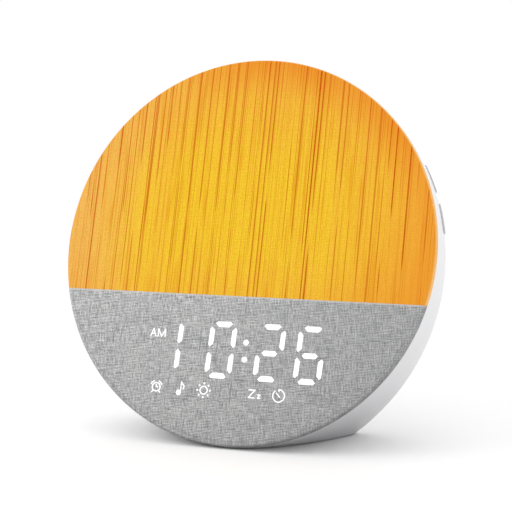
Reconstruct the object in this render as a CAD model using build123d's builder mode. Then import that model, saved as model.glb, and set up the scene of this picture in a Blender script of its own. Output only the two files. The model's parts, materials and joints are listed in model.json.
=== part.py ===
"""Round sunrise alarm clock: a cloth-covered face that leans back on a bowl-shaped shell.

The clock stands on the XY plane, +Y points to its back, and the origin lies on the table
under the middle of the face. Positions on the face are (across, up) from the middle of its
front, and a depth is measured from there into the clock, square to the face.
"""

from math import atan2, cos, degrees, dist, hypot, radians, sin, tan
import os

from build123d import *

os.makedirs("parts", exist_ok=True)

# ---------------------------------------------------------------- driving dimensions (mm)

# body
face_radius = 85.0
lean = 16.2  # degrees that the face leans back
rear_depth = 50.0
rear_radius = 49.0
rear_low = 6.5  # how far the rear wall's circle reaches below the face's
bowl_power = 2.9  # roundness of the bowl's side: 2 is an ellipse, more is squarer
bowl_steps = 9
shell_wall = 2.4
base_wall = 2.4
base_gap = 0.5  # between the shell's underside and the table

# cloth and front frame
cloth = 0.5
frame_plate = 2.0
frame_edge = 1.0
hem = 2.3
seam_gap = 0.3
split_rise = 23.6  # from the middle of the digits to the line where the two cloths meet
spigot_wall = 2.0
spigot_reach = 4.5
fit_gap = 0.2
light_window_rim = 14.5  # from the lit window's edge to the clock's rim
light_window_rise = 2.7  # from the split line to the lit window's lower edge
display_window_gap = 0.2

# light unit
diffuser_flange = 2.0
diffuser_flange_thick = 1.0
reflector_depth = 7.5
reflector_wall = 1.2
board_thick = 1.6
light_pitch = 16.0
light_size = 3.5
light_height = 1.9
light_margin = 7.0
ear_inset = 9.0  # from the middle of an ear to the rim
ear_size = 3.2
ear_angles = (90, 12, 168)

# display
display_rise = 40.7  # from the lowest point of the face to the middle of the digits
digit_centres = (-5.3, 16.85, 34.85)
one_across = -25.0
one_rise = 0.5  # the first digit stands a little higher
digit_half_width = 5.1
digit_half_height = 11.05
digit_slant = 0.041  # sideways per unit of height
bar_upright = (8.6, 2.2)  # length, width
bar_level = (7.7, 2.35)
bar_middle = (7.1, 2.35)
bar_tip_shift = 0.3  # of a bar's points towards the outside of its digit
bar_middle_drop = 0.2
colon_across = 5.85
colon_rises = (3.8, -3.45)  # from the middle of the digits, as are all of the display's rises
colon_radius = 1.25
housing_left = -43.5
housing_right = 43.5
housing_top_rise = 14.8
housing_low_rise = -22.0
housing_depth = 8.0
housing_corner = 5.0
guide_depth = 5.0
bar_light_size = 1.0
bar_light_height = 0.8
display_tab_inset = (4.0, 1.0)  # sides and bottom of the board's tab, from the housing's

# display marks
icon_rise = -17.7
icon_room = 3.5  # half the height of the strip that holds the icons
icon_relief = 0.5
icon_plate = 1.0
icon_line = 0.5
icon_plate_gap = 0.1
icon_well = 5.0
strip_margin = 0.8
alarm_across = -33.6
alarm_radius = 2.1
alarm_bell_radius = 2.8
alarm_bell_angles = (24, 45, 66)
alarm_foot_angle = -50
alarm_foot_radii = (2.1, 2.95)
alarm_hands = (1.0, 0.8)
note_across = -22.3
note_head_radius = 1.2
note_height = 5.8
note_flag = ((1.5, -1.9), (1.2, -2.9))  # from the top of the stem
sun_across = -11.3
sun_radius = 1.9
sun_dot_ring = 2.9
sun_dot_radius = 0.42
sun_dots = 8
sleep_across = 10.7
sleep_large = (2.7, 3.3)  # width, height
sleep_small = (1.2, 1.4)
sleep_pitch = 3.3
timer_across = 22.8
timer_radius = 2.85
timer_opening = (97, 128)  # directions between which the ring is open
timer_tick = 1.9  # distance of the tick's inner end from the middle
timer_pointer_angle = 135
timer_pointer = (1.5, 0.7)  # how far it reaches each side of the middle
letters_across = -35.5
morning_rise = 5.9
evening_rise = -5.7
letter_height = 3.2
letter_width = 2.4
wide_letter_width = 3.3
letter_gap = 1.1
letter_line = 0.5

# boards
main_board_depth = 24.0
main_board_half_width = 52.0
main_board_top_rise = 24.8
main_board_low_rise = -17.7
main_board_corner = 10.0
main_post_inset_top = (5.0, 4.0)  # from the board's corners
main_post_inset_low = (5.5, 5.0)
display_board_half_width = 53.0
display_board_low_rise = -10.4
display_post_inset_top = (3.5, 3.5)
display_post_inset_low = (3.5, 3.0)
post_radius = 2.5
board_corner = 3.0
chips = ((22.0, 6.3, 12.0, 12.0), (-4.0, -5.7, 9.0, 6.0), (34.0, -3.7, 5.0, 4.0))  # across, rise, sides
chip_thick = 1.4
capacitor_across = (-36.0, -26.0)
capacitor_rise = 14.3
capacitor_radius = 3.15
capacitor_height = 7.5

# case screws
case_screw_inset = 8.5  # from the rim
upper_screw_angle = 42.0
lower_screw_angle = -32.0
upper_seat_depth = 20.0
lower_seat_depth = 30.0
boss_radius = 3.2
well_radius = 3.3
well_wall = 1.4
well_floor = 2.0
case_screw = dict(shank=1.4, length=11.0, head=2.8, height=2.0)
board_screw = dict(shank=0.95, length=5.0, head=1.9, height=1.3)
screw_gap = 0.05
recess_length = 1.2  # size of the cross in a screw's head, for a head of radius 1
recess_width = 0.25

# speaker
speaker_rise = 20.3  # from the level of the digits' middle
speaker_radius = 20.0
speaker_flange = 2.6
speaker_flange_thick = 0.8
gasket_thick = 1.0
basket_depth = 8.0
basket_back_radius = 12.0
basket_wall = 0.8
magnet_radius = 11.0
magnet_thick = 6.5
surround_width = 3.4
cone_depth = 4.5
cone_wall = 0.5
coil_radius = 5.0
terminal_width = 10.0
terminal_reach = 5.5
terminal_thick = 1.0
speaker_screw_angles = (90, 210, 330)
speaker_boss_radius = 2.6
speaker_screw = dict(shank=1.1, length=3.2, head=3.4, height=1.4)
grille_hole_radius = 0.8
grille_pitch = 3.0
grille_rings = 5

# push buttons
button_travel = 0.5
button_gap = 0.25
side_angle = 19.65  # around the face, from level to midway between the two buttons
side_depth = 18.3
side_pitch = 18.5
side_button_length = 13.0
side_button_width = 6.5
side_button_proud = 0.5
side_flange_drop = 6.2
side_flange_thick = 1.0
flange_lip = 0.9
side_board_width = 8.6
side_post_pitch = 42.0
side_post_margin = 3.0  # from a post to the board's end
side_post_radius = 2.3
rear_row_rise = -11.7
rear_button_names = ("set_button", "alarm_button", "minus_button", "plus_button")
rear_button_across = (-34.5, -20.5, 20.5, 34.5)
rear_button_radius = 3.2
rear_button_proud = 1.0
rear_button_edge = 0.5
rear_flange_thick = 0.8
switch_size = 6.0
switch_height = 3.5
plunger_radius = 1.7
plunger_proud = 1.0
plunger_depth = 1.5
plunger_gap = 0.06
press_gap = 0.05  # between a button's stem and its plunger
stem_radius = 1.6

# rear board and power socket
rear_post_length = 7.6
rear_board_margin = 3.0  # beside the outer switches
rear_board_half_height = 6.0
rear_post_across = (-27.5, 27.5)
rear_post_radius = 2.2
socket_width = 8.94
socket_height = 3.26
socket_wall = 0.3
socket_sunk = 0.6  # from the shell's outside to the socket's mouth
socket_room = 6.5
tongue_width = 6.7
tongue_thick = 0.7
tongue_sunk = 0.9
socket_gap = 0.25

# base pad
pad_margin = 1.2
pad_gap = 0.15
pad_thick = 1.5

# backup cell
cell_across = -30.0
cell_rise = 1.3
cell_radius = 10.0
cell_thick = 3.2
cell_edge = 0.4
cell_holder_wall = 1.2
cell_holder_floor = 0.8

# leads
ribbon_thick = 0.3
ribbon_width = 14.0
connector_height = 2.6
connector_depth = 4.4
connector_margin = 2.0
# across, then the rise at the front end and at the back end
display_ribbon_place = (0.0, 2.3, 8.3)
light_ribbon_place = (30.0, 30.3, 20.3)
rear_ribbon_place = (10.0, -2.7, -9.7)
lead_radius = 0.7
bend_share = 0.45  # part of a lead's shorter run that a bend may use
speaker_lead_pitch = 5.0
speaker_lead_shift = 9.0  # sideways between its two ends
side_lead_run = 7.4  # straight out of the side board
side_lead_places = ((43.0, 36.3, 18.3), (42.5, 15.3, 19.0))  # across, rise, depth

# ---------------------------------------------------------------- places worked out

edge_depth = cloth + frame_plate + cloth  # from the front of the face to the parting line
rolled_edge = frame_edge + cloth
face_height = face_radius * cos(radians(lean)) + edge_depth * sin(radians(lean)) + base_gap
normal = (0, -cos(radians(lean)), sin(radians(lean)))
face = Plane(origin=(0, 0, face_height), x_dir=(1, 0, 0), z_dir=normal)
face_axis = Axis(face.origin, face.z_dir)
frame_back = cloth + frame_plate
cavity_floor = base_gap + base_wall
rear_drop = face_radius + rear_low - rear_radius
inside_radius = face_radius - shell_wall
inside_depth = rear_depth - shell_wall
light_window_radius = face_radius - light_window_rim
ear_radius = face_radius - ear_inset
case_screw_radius = face_radius - case_screw_inset

# heights on the face, from its middle
display_up = display_rise - face_radius
split_up = display_up + split_rise
light_window_low = split_up + light_window_rise
colon_up = [display_up + rise for rise in colon_rises]
housing_top = display_up + housing_top_rise
housing_low = display_up + housing_low_rise
icon_up = display_up + icon_rise
morning_place = (letters_across, display_up + morning_rise)
evening_place = (letters_across, display_up + evening_rise)
main_board_top = display_up + main_board_top_rise
main_board_low = display_up + main_board_low_rise
display_board_low = display_up + display_board_low_rise
speaker_up = display_up + speaker_rise
rear_row_up = display_up + rear_row_rise
cell_place = (cell_across, display_up + cell_rise)
capacitor_places = [(across, display_up + capacitor_rise) for across in capacitor_across]


def layer(depth):
    """The plane that lies this deep behind the face's front, with its normal to the front."""
    return face.offset(-depth)


def on_circle(radius, angle):
    """A place on the face, from its distance and direction from the middle."""
    return (radius * cos(radians(angle)), radius * sin(radians(angle)))


def bowl(inset):
    """The shell's outer form, with every surface moved inwards by inset."""
    with BuildPart() as body:
        for step in range(bowl_steps + 1):
            turn = radians(90 * step / bowl_steps)
            along = sin(turn) ** (2 / bowl_power)
            inward = 1 - max(0, cos(turn)) ** (2 / bowl_power)
            with BuildSketch(layer((rear_depth - inset) * along)):
                with Locations((0, -rear_drop * inward)):
                    Circle(face_radius - inset - (face_radius - rear_radius) * inward)
        loft()
    return body.part


def disc(radius, front, back, edge):
    """A disc behind the face between two depths, with its front edge rounded."""
    with BuildPart() as body:
        with BuildSketch(layer(back)):
            Circle(radius)
        extrude(amount=back - front)
        fillet(body.faces().sort_by(face_axis)[-1].edges(), radius=edge)
    return body.part


def segment(radius, low):
    """Draws the part of a circle that lies above a level line."""
    Circle(radius)
    with Locations((0, low - radius)):
        Rectangle(2 * radius, 2 * radius, mode=Mode.SUBTRACT)


def block(left, right, low, top):
    """Draws a rectangle from its four sides."""
    with Locations(((left + right) / 2, (low + top) / 2)):
        Rectangle(right - left, top - low)


def stroke(start, end, width):
    """Draws a straight line with round ends."""
    middle = ((start[0] + end[0]) / 2, (start[1] + end[1]) / 2)
    turn = degrees(atan2(end[1] - start[1], end[0] - start[0]))
    with Locations(Location((*middle, 0), (0, 0, turn))):
        SlotCenterToCenter(dist(start, end), width)


def strokes(places, width):
    """Draws a run of straight lines from place to place."""
    for start, end in zip(places, places[1:]):
        stroke(start, end, width)


def screws(seat, places, size, heads):
    """A group of screws on a plane: heads is 1 if they lie above it, -1 if below."""
    with BuildPart() as group:
        with BuildSketch(seat):
            with Locations(*places):
                Circle(size["head"])
        extrude(amount=heads * size["height"])
        with BuildSketch(seat):
            with Locations(*places):
                Circle(size["shank"])
        extrude(amount=-heads * size["length"])
        with BuildSketch(seat.offset(heads * size["height"])):
            with Locations(*places):
                Rectangle(recess_length * size["head"], recess_width * size["head"])
                Rectangle(recess_width * size["head"], recess_length * size["head"])
        extrude(amount=-heads * size["height"] / 2, mode=Mode.SUBTRACT)
    return group.part


def write(builder, name):
    """Labels a finished piece and writes it."""
    builder.part.label = name
    export_step(builder.part, f"parts/{name}.step")


# ---------------------------------------------------------------- rear shell and base pad

upper_screws = [on_circle(case_screw_radius, a) for a in (upper_screw_angle, 180 - upper_screw_angle)]
lower_screws = [on_circle(case_screw_radius, a) for a in (lower_screw_angle, 180 - lower_screw_angle)]
speaker_screw_ring = speaker_radius + speaker_boss_radius + fit_gap
speaker_bosses = [
    (x, speaker_up + y) for x, y in (on_circle(speaker_screw_ring, a) for a in speaker_screw_angles)
]
flange_depth = inside_depth - gasket_thick - speaker_flange_thick
rear_board_back = inside_depth - rear_post_length
rear_board_depth = rear_board_back - board_thick
rear_posts = [(x, rear_row_up) for x in rear_post_across]

side = Plane(
    origin=layer(side_depth).from_local_coords((*on_circle(face_radius, side_angle), 0)),
    x_dir=face.from_local_coords((*on_circle(1, side_angle + 90), 0)) - face.origin,
    z_dir=face.from_local_coords((*on_circle(1, side_angle), 0)) - face.origin,
)
side_buttons = {"side_button_upper": side_pitch / 2, "side_button_lower": -side_pitch / 2}
plunger_drop = side_flange_drop + side_flange_thick + press_gap
switch_drop = plunger_drop + plunger_proud
side_board_drop = switch_drop + switch_height
side_posts = [(-side_post_pitch / 2, 0), (side_post_pitch / 2, 0)]

with BuildPart() as cavity:
    add(bowl(shell_wall))
    split(bisect_by=Plane.XY.offset(cavity_floor), keep=Keep.TOP)

with BuildPart() as side_post_blank:
    with BuildSketch(side.offset(-side_board_drop)):
        with Locations(*side_posts):
            Circle(side_post_radius)
    extrude(amount=side_board_drop)
    add(bowl(shell_wall / 2), mode=Mode.INTERSECT)

with BuildPart() as well_blank:
    for seat, places in ((upper_seat_depth, upper_screws), (lower_seat_depth, lower_screws)):
        with BuildSketch(layer(seat)):
            with Locations(*places):
                Circle(well_radius + well_wall)
        extrude(amount=seat - rear_depth)
    add(bowl(shell_wall / 2), mode=Mode.INTERSECT)

with BuildPart() as pad_recess:
    add(bowl(pad_margin - pad_gap))
    split(bisect_by=Plane.XY.offset(pad_thick), keep=Keep.BOTTOM)

with BuildPart() as rear_shell:
    add(bowl(0))
    split(bisect_by=Plane.XY.offset(base_gap), keep=Keep.TOP)
    split(bisect_by=layer(edge_depth), keep=Keep.BOTTOM)
    add(cavity.part, mode=Mode.SUBTRACT)
    add(side_post_blank.part)
    add(well_blank.part)
    # bosses for the speaker and the rear board stand on the rear wall
    with BuildSketch(layer(inside_depth + shell_wall / 2)):
        with Locations(*speaker_bosses):
            Circle(speaker_boss_radius)
    extrude(amount=inside_depth + shell_wall / 2 - flange_depth)
    with BuildSketch(layer(inside_depth + shell_wall / 2)):
        with Locations(*rear_posts):
            Circle(rear_post_radius)
    extrude(amount=inside_depth + shell_wall / 2 - rear_board_back)
    # screw wells, each with a floor under the screw's head
    for seat, places in ((upper_seat_depth, upper_screws), (lower_seat_depth, lower_screws)):
        with BuildSketch(layer(seat + well_floor)):
            with Locations(*places):
                Circle(well_radius)
        extrude(amount=seat + well_floor - rear_depth, mode=Mode.SUBTRACT)
        with BuildSketch(layer(seat)):
            with Locations(*places):
                Circle(case_screw["shank"] + fit_gap)
        extrude(amount=-well_floor, mode=Mode.SUBTRACT)
    # pilot holes for the small screws
    with BuildSketch(layer(flange_depth)):
        with Locations(*speaker_bosses):
            Circle(speaker_screw["shank"] + screw_gap)
    extrude(amount=-speaker_screw["length"], mode=Mode.SUBTRACT)
    with BuildSketch(layer(rear_board_back)):
        with Locations(*rear_posts):
            Circle(board_screw["shank"] + screw_gap)
    extrude(amount=-board_screw["length"], mode=Mode.SUBTRACT)
    with BuildSketch(side.offset(-side_board_drop)):
        with Locations(*side_posts):
            Circle(board_screw["shank"] + screw_gap)
    extrude(amount=board_screw["length"], mode=Mode.SUBTRACT)
    # speaker grille
    with BuildSketch(layer(rear_depth)):
        with Locations((0, speaker_up)):
            Circle(grille_hole_radius)
            for ring in range(1, grille_rings + 1):
                with PolarLocations(ring * grille_pitch, 6 * ring):
                    Circle(grille_hole_radius)
    extrude(amount=shell_wall, mode=Mode.SUBTRACT)
    # rear push button holes and the socket's mouth
    with BuildSketch(layer(rear_depth)):
        with Locations(*[(x, rear_row_up) for x in rear_button_across]):
            Circle(rear_button_radius + button_gap)
        with Locations((0, rear_row_up)):
            SlotOverall(socket_width + 2 * socket_gap, socket_height + 2 * socket_gap)
    extrude(amount=shell_wall, mode=Mode.SUBTRACT)
    # side push button holes
    with BuildSketch(side.offset(shell_wall)):
        with Locations(*[(x, 0) for x in side_buttons.values()]):
            SlotOverall(side_button_length + 2 * button_gap, side_button_width + 2 * button_gap)
    extrude(amount=-side_flange_drop - shell_wall, mode=Mode.SUBTRACT)
    add(pad_recess.part, mode=Mode.SUBTRACT)
write(rear_shell, "rear_shell")

with BuildPart() as base_pad:
    add(bowl(pad_margin))
    split(bisect_by=Plane.XY, keep=Keep.TOP)
    split(bisect_by=Plane.XY.offset(pad_thick), keep=Keep.BOTTOM)
write(base_pad, "base_pad")

# ---------------------------------------------------------------- front frame

reflector_front = frame_back + diffuser_flange_thick
reflector_back = reflector_front + reflector_depth
light_board_back = reflector_back + board_thick
light_unit_radius = light_window_radius + diffuser_flange
light_unit_low = light_window_low - diffuser_flange
ears = [on_circle(ear_radius, a) for a in ear_angles]
housing_back = cloth + housing_depth
display_board_back = housing_back + board_thick
main_board_back = main_board_depth + board_thick


def corner_posts(half_width, top, low, inset_top, inset_low):
    """The four post places under a board, from its sides and their insets."""
    return [
        (way * (half_width - inset[0]), height)
        for inset, height in ((inset_top, top - inset_top[1]), (inset_low, low + inset_low[1]))
        for way in (-1, 1)
    ]


main_post_places = corner_posts(
    main_board_half_width, main_board_top, main_board_low, main_post_inset_top, main_post_inset_low
)
display_post_places = corner_posts(
    display_board_half_width,
    housing_top,
    display_board_low,
    display_post_inset_top,
    display_post_inset_low,
)

with BuildPart() as spigot:
    with BuildSketch(layer(frame_back + spigot_reach)):
        Circle(inside_radius - fit_gap)
        Circle(inside_radius - fit_gap - spigot_wall, mode=Mode.SUBTRACT)
    extrude(amount=spigot_reach)
    split(bisect_by=Plane.XY.offset(cavity_floor + fit_gap), keep=Keep.TOP)

with BuildPart() as front_frame:
    add(disc(face_radius - cloth, cloth, frame_back, frame_edge))
    with BuildSketch(layer(frame_back)):
        segment(light_window_radius, light_window_low)
        block(
            housing_left - display_window_gap,
            housing_right + display_window_gap,
            housing_low - display_window_gap,
            housing_top + display_window_gap,
        )
    extrude(amount=frame_plate, mode=Mode.SUBTRACT)
    add(spigot.part)
    # posts: case screws, light unit, display board and main board
    for seat, places, radius in (
        (upper_seat_depth, upper_screws, boss_radius),
        (lower_seat_depth, lower_screws, boss_radius),
        (reflector_back - reflector_wall, ears, post_radius),
        (housing_back, display_post_places, post_radius),
        (main_board_depth, main_post_places, post_radius),
    ):
        with BuildSketch(layer(seat)):
            with Locations(*places):
                Circle(radius)
        extrude(amount=seat - frame_back)
    for seat, places, size in (
        (upper_seat_depth, upper_screws, case_screw),
        (lower_seat_depth, lower_screws, case_screw),
        (reflector_back - reflector_wall, ears, board_screw),
        (housing_back, display_post_places, board_screw),
        (main_board_depth, main_post_places, board_screw),
    ):
        with BuildSketch(layer(seat)):
            with Locations(*places):
                Circle(size["shank"] + screw_gap)
        extrude(amount=size["length"], mode=Mode.SUBTRACT)
write(front_frame, "front_frame")

# ---------------------------------------------------------------- the two cloths

with BuildPart() as cloth_blank:
    add(disc(face_radius, 0, edge_depth, rolled_edge))
    add(disc(face_radius - cloth, cloth, frame_back, frame_edge), mode=Mode.SUBTRACT)
    with BuildSketch(layer(edge_depth)):
        Circle(face_radius - hem)
    extrude(amount=edge_depth - cloth, mode=Mode.SUBTRACT)

cloth_line = Plane(
    origin=face.from_local_coords((0, split_up, 0)),
    x_dir=(1, 0, 0),
    z_dir=face.y_dir,
)

with BuildPart() as upper_cloth:
    add(cloth_blank.part)
    split(bisect_by=cloth_line.offset(seam_gap / 2), keep=Keep.TOP)
write(upper_cloth, "upper_cloth")

with BuildPart() as lower_cloth:
    add(cloth_blank.part)
    split(bisect_by=cloth_line.offset(-seam_gap / 2), keep=Keep.BOTTOM)
write(lower_cloth, "lower_cloth")

# ---------------------------------------------------------------- light unit

with BuildPart() as light_diffuser:
    with BuildSketch(layer(frame_back)):
        segment(light_window_radius - fit_gap, light_window_low + fit_gap)
    extrude(amount=frame_plate)
    with BuildSketch(layer(frame_back)):
        segment(light_unit_radius, light_unit_low)
    extrude(amount=-diffuser_flange_thick)
write(light_diffuser, "light_diffuser")

light_reach = light_window_radius - light_margin
light_first_row = light_window_low + light_margin
light_columns = int(light_reach // light_pitch)
light_rows = int((light_reach - light_first_row) // light_pitch)
light_places = [
    (column * light_pitch, light_first_row + row * light_pitch)
    for row in range(light_rows + 1)
    for column in range(-light_columns, light_columns + 1)
    if hypot(column * light_pitch, light_first_row + row * light_pitch) < light_reach
]


def light_outline():
    """Draws the back of the light unit: the lit area with its three ears."""
    segment(light_unit_radius, light_unit_low)
    for angle in ear_angles:
        stroke(on_circle(light_window_radius, angle), on_circle(ear_radius, angle), 2 * ear_size)


with BuildPart() as light_reflector:
    with BuildSketch(layer(reflector_back)):
        light_outline()
    extrude(amount=reflector_wall)
    with BuildSketch(layer(reflector_back)):
        segment(light_unit_radius, light_unit_low)
    extrude(amount=reflector_depth)
    with BuildSketch(layer(reflector_back - reflector_wall)):
        segment(light_unit_radius - reflector_wall, light_unit_low + reflector_wall)
    extrude(amount=reflector_depth - reflector_wall, mode=Mode.SUBTRACT)
    with BuildSketch(layer(reflector_back)):
        with Locations(*light_places):
            Rectangle(light_size + 2 * fit_gap, light_size + 2 * fit_gap)
        with Locations(*ears):
            Circle(board_screw["shank"] + fit_gap)
    extrude(amount=reflector_wall, mode=Mode.SUBTRACT)
write(light_reflector, "light_reflector")

with BuildPart() as light_board:
    with BuildSketch(layer(light_board_back)):
        light_outline()
        with Locations(*ears):
            Circle(board_screw["shank"] + fit_gap, mode=Mode.SUBTRACT)
    extrude(amount=board_thick)
write(light_board, "light_board")

with BuildPart() as lights:
    with BuildSketch(layer(reflector_back)):
        with Locations(*light_places):
            Rectangle(light_size, light_size)
    extrude(amount=light_height)
write(lights, "lights")

with BuildPart() as light_screws:
    add(screws(layer(light_board_back), ears, board_screw, -1))
write(light_screws, "light_screws")

# ---------------------------------------------------------------- display


def bar(place, size, turn, shift=0):
    """Draws one bar of a digit: a long hexagon, its points cut at 45 degrees and shifted sideways."""
    length, width = size
    near, far = width / 2 + shift, width / 2 - shift
    with Locations(Location((*place, 0), (0, 0, turn))):
        Polygon(
            (-length / 2, shift),
            (near - length / 2, -width / 2),
            (length / 2 - near, -width / 2),
            (length / 2, shift),
            (length / 2 - far, width / 2),
            (far - length / 2, width / 2),
            align=None,
        )


def upright_places(across, rise=0):
    """The middles of the upper and lower upright bar of one column of a digit."""
    heights = (digit_half_height / 2, -digit_half_height / 2)
    return [(across + digit_slant * height, display_up + rise + height) for height in heights]


def level_places(across):
    """The middles of the top, middle and bottom bar of a digit."""
    heights = (digit_half_height, -bar_middle_drop, -digit_half_height)
    return [(across + digit_slant * height, display_up + height) for height in heights]


def upright_bars(across, shift, rise=0):
    """Draws the two upright bars of one column of a digit."""
    for place in upright_places(across, rise):
        bar(place, bar_upright, 90 - degrees(digit_slant), shift)


def digit_bars(across):
    """Draws the seven bars of one digit."""
    upright_bars(across - digit_half_width, bar_tip_shift)
    upright_bars(across + digit_half_width, -bar_tip_shift)
    top, middle, low = level_places(across)
    bar(top, bar_level, 0, bar_tip_shift)
    bar(middle, bar_middle, 0)
    bar(low, bar_level, 0, -bar_tip_shift)


def display_bars():
    """Draws every bar of the display and the colon."""
    upright_bars(one_across, bar_tip_shift, one_rise)
    for across in digit_centres:
        digit_bars(across)
    with Locations(*[(colon_across, height) for height in colon_up]):
        Circle(colon_radius)


def letters(place, first):
    """Draws two capital letters, A or P and then M."""
    low, high = place[1] - letter_height / 2, place[1] + letter_height / 2
    left = place[0] - (letter_width + letter_gap + wide_letter_width) / 2
    right = left + letter_width
    if first == "A":
        strokes([(left, low), ((left + right) / 2, high), (right, low)], letter_line)
        level = low + letter_height / 3
        inward = letter_width / 6
        stroke((left + inward, level), (right - inward, level), letter_line)
    else:
        right -= letter_width / 5
        strokes([(left, low), (left, high), (right, high), (right, place[1]), (left, place[1])], letter_line)
    left += letter_width + letter_gap
    right = left + wide_letter_width
    strokes([(left, low), (left, high), ((left + right) / 2, low), (right, high), (right, low)], letter_line)


def around(middle, radius, angle):
    """A place on an icon, from its distance and direction from the icon's middle."""
    return (middle[0] + radius * cos(radians(angle)), middle[1] + radius * sin(radians(angle)))


def ring(middle, radius):
    """Draws a ring as wide as the icons' lines."""
    with Locations(middle):
        Circle(radius)
        Circle(radius - icon_line, mode=Mode.SUBTRACT)


def alarm_icon():
    """Draws a small alarm clock with two bells and two feet."""
    middle = (alarm_across, icon_up)
    ring(middle, alarm_radius)
    long_hand, short_hand = alarm_hands
    strokes([around(middle, long_hand, 90), middle, around(middle, short_hand, 0)], icon_line)
    strokes([around(middle, alarm_bell_radius, a) for a in alarm_bell_angles], icon_line)
    strokes([around(middle, alarm_bell_radius, 180 - a) for a in alarm_bell_angles], icon_line)
    for angle in (alarm_foot_angle, 180 - alarm_foot_angle):
        strokes([around(middle, radius, angle) for radius in alarm_foot_radii], icon_line)


def note_icon():
    """Draws a quaver."""
    low = icon_up - note_height / 2
    head = (note_across - note_head_radius / 2, low + note_head_radius)
    stem = head[0] + note_head_radius - icon_line / 2
    top = low + note_height
    with Locations(head):
        Circle(note_head_radius)
    strokes([(stem, head[1]), (stem, top)] + [(stem + x, top + y) for x, y in note_flag], icon_line)


def sun_icon():
    """Draws a ring with dots around it."""
    ring((sun_across, icon_up), sun_radius)
    with Locations((sun_across, icon_up)):
        with PolarLocations(sun_dot_ring, sun_dots):
            Circle(sun_dot_radius)


def sleep_icon():
    """Draws a large and a small Z on one line."""
    low = icon_up - sleep_large[1] / 2
    for middle, (width, height) in (
        (sleep_across, sleep_large),
        (sleep_across + sleep_pitch, sleep_small),
    ):
        left, right = middle - width / 2, middle + width / 2
        strokes([(left, low + height), (right, low + height), (left, low), (right, low)], icon_line)


def timer_icon():
    """Draws an open ring with a tick and a pointer."""
    middle = (timer_across, icon_up)
    ring(middle, timer_radius)
    opening = [around((0, 0), 2 * timer_radius, angle) for angle in timer_opening]
    with Locations(middle):
        Polygon((0, 0), *opening, align=None, mode=Mode.SUBTRACT)
    stroke(around(middle, timer_radius - icon_line / 2, 90), around(middle, timer_tick, 90), icon_line)
    tip, tail = timer_pointer
    stroke(around(middle, tip, timer_pointer_angle), around(middle, -tail, timer_pointer_angle), icon_line)


def letter_strip(place):
    """The four sides of the plate that carries two letters."""
    half_width = (letter_width + letter_gap + wide_letter_width) / 2 + strip_margin
    half_height = letter_height / 2 + strip_margin
    return (place[0] - half_width, place[0] + half_width, place[1] - half_height, place[1] + half_height)


icon_strips = (
    (
        alarm_across - icon_room - strip_margin,
        timer_across + icon_room + strip_margin,
        icon_up - icon_room,
        icon_up + icon_room,
    ),
    letter_strip(morning_place),
    letter_strip(evening_place),
)

with BuildPart() as display_segments:
    with BuildSketch(layer(cloth)):
        display_bars()
    extrude(amount=-guide_depth)
write(display_segments, "display_segments")

with BuildPart() as display_icons:
    for strip in icon_strips:
        with BuildSketch(layer(cloth + icon_relief)):
            block(*strip)
        extrude(amount=-icon_plate)
    with BuildSketch(layer(cloth)):
        alarm_icon()
        note_icon()
        sun_icon()
        sleep_icon()
        timer_icon()
        letters(morning_place, "A")
        letters(evening_place, "P")
    extrude(amount=-icon_relief)
write(display_icons, "display_icons")

icon_middles = (alarm_across, note_across, sun_across, sleep_across + sleep_pitch / 3, timer_across)
icon_wells = [(across, icon_up) for across in icon_middles]
letter_wells = (morning_place, evening_place)

with BuildPart() as display_housing:
    with BuildSketch(layer(housing_back)) as housing_outline:
        block(housing_left, housing_right, housing_low, housing_top)
        fillet(housing_outline.vertices(), radius=housing_corner)
    extrude(amount=housing_depth)
    # every bar of a digit has its own light well, right through the housing
    with BuildSketch(layer(cloth)):
        display_bars()
        with Locations(*icon_wells):
            Rectangle(icon_well, icon_well)
        with Locations(*letter_wells):
            Rectangle(letter_width + wide_letter_width, letter_height)
    extrude(amount=-housing_depth, mode=Mode.SUBTRACT)
    # recesses for the icon plates
    for strip in icon_strips:
        left, right, low, top = strip
        gap = icon_plate_gap
        with BuildSketch(layer(cloth)):
            block(left - gap, right + gap, low - gap, top + gap)
        extrude(amount=-icon_relief - icon_plate, mode=Mode.SUBTRACT)
write(display_housing, "display_housing")

tab_side, tab_low = display_tab_inset
with BuildPart() as display_board:
    with BuildSketch(layer(display_board_back)):
        block(-display_board_half_width, display_board_half_width, display_board_low, housing_top)
        block(housing_left + tab_side, housing_right - tab_side, housing_low + tab_low, display_board_low)
        with Locations(*display_post_places):
            Circle(board_screw["shank"] + fit_gap, mode=Mode.SUBTRACT)
    extrude(amount=board_thick)
write(display_board, "display_board")

columns = [centre + way * digit_half_width for centre in digit_centres for way in (-1, 1)]
display_light_places = [
    *upright_places(one_across, one_rise),
    *(place for across in columns for place in upright_places(across)),
    *(place for across in digit_centres for place in level_places(across)),
    *((colon_across, height) for height in colon_up),
    *icon_wells,
    *letter_wells,
]

with BuildPart() as display_lights:
    with BuildSketch(layer(housing_back)):
        with Locations(*display_light_places):
            Rectangle(bar_light_size, bar_light_size)
    extrude(amount=bar_light_height)
write(display_lights, "display_lights")

with BuildPart() as display_screws:
    add(screws(layer(display_board_back), display_post_places, board_screw, -1))
write(display_screws, "display_screws")

# ---------------------------------------------------------------- main board

with BuildPart() as main_board:
    with BuildSketch(layer(main_board_back)) as main_outline:
        block(-main_board_half_width, main_board_half_width, main_board_low, main_board_top)
        fillet(main_outline.vertices(), radius=main_board_corner)
        with Locations(*main_post_places):
            Circle(board_screw["shank"] + fit_gap, mode=Mode.SUBTRACT)
    extrude(amount=board_thick)
write(main_board, "main_board")

with BuildPart() as board_screws:
    add(screws(layer(main_board_back), main_post_places, board_screw, -1))
write(board_screws, "board_screws")

with BuildPart() as main_chips:
    with BuildSketch(layer(main_board_depth)):
        for across, rise, length, width in chips:
            with Locations((across, display_up + rise)):
                Rectangle(length, width)
    extrude(amount=chip_thick)
write(main_chips, "main_chips")

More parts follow.
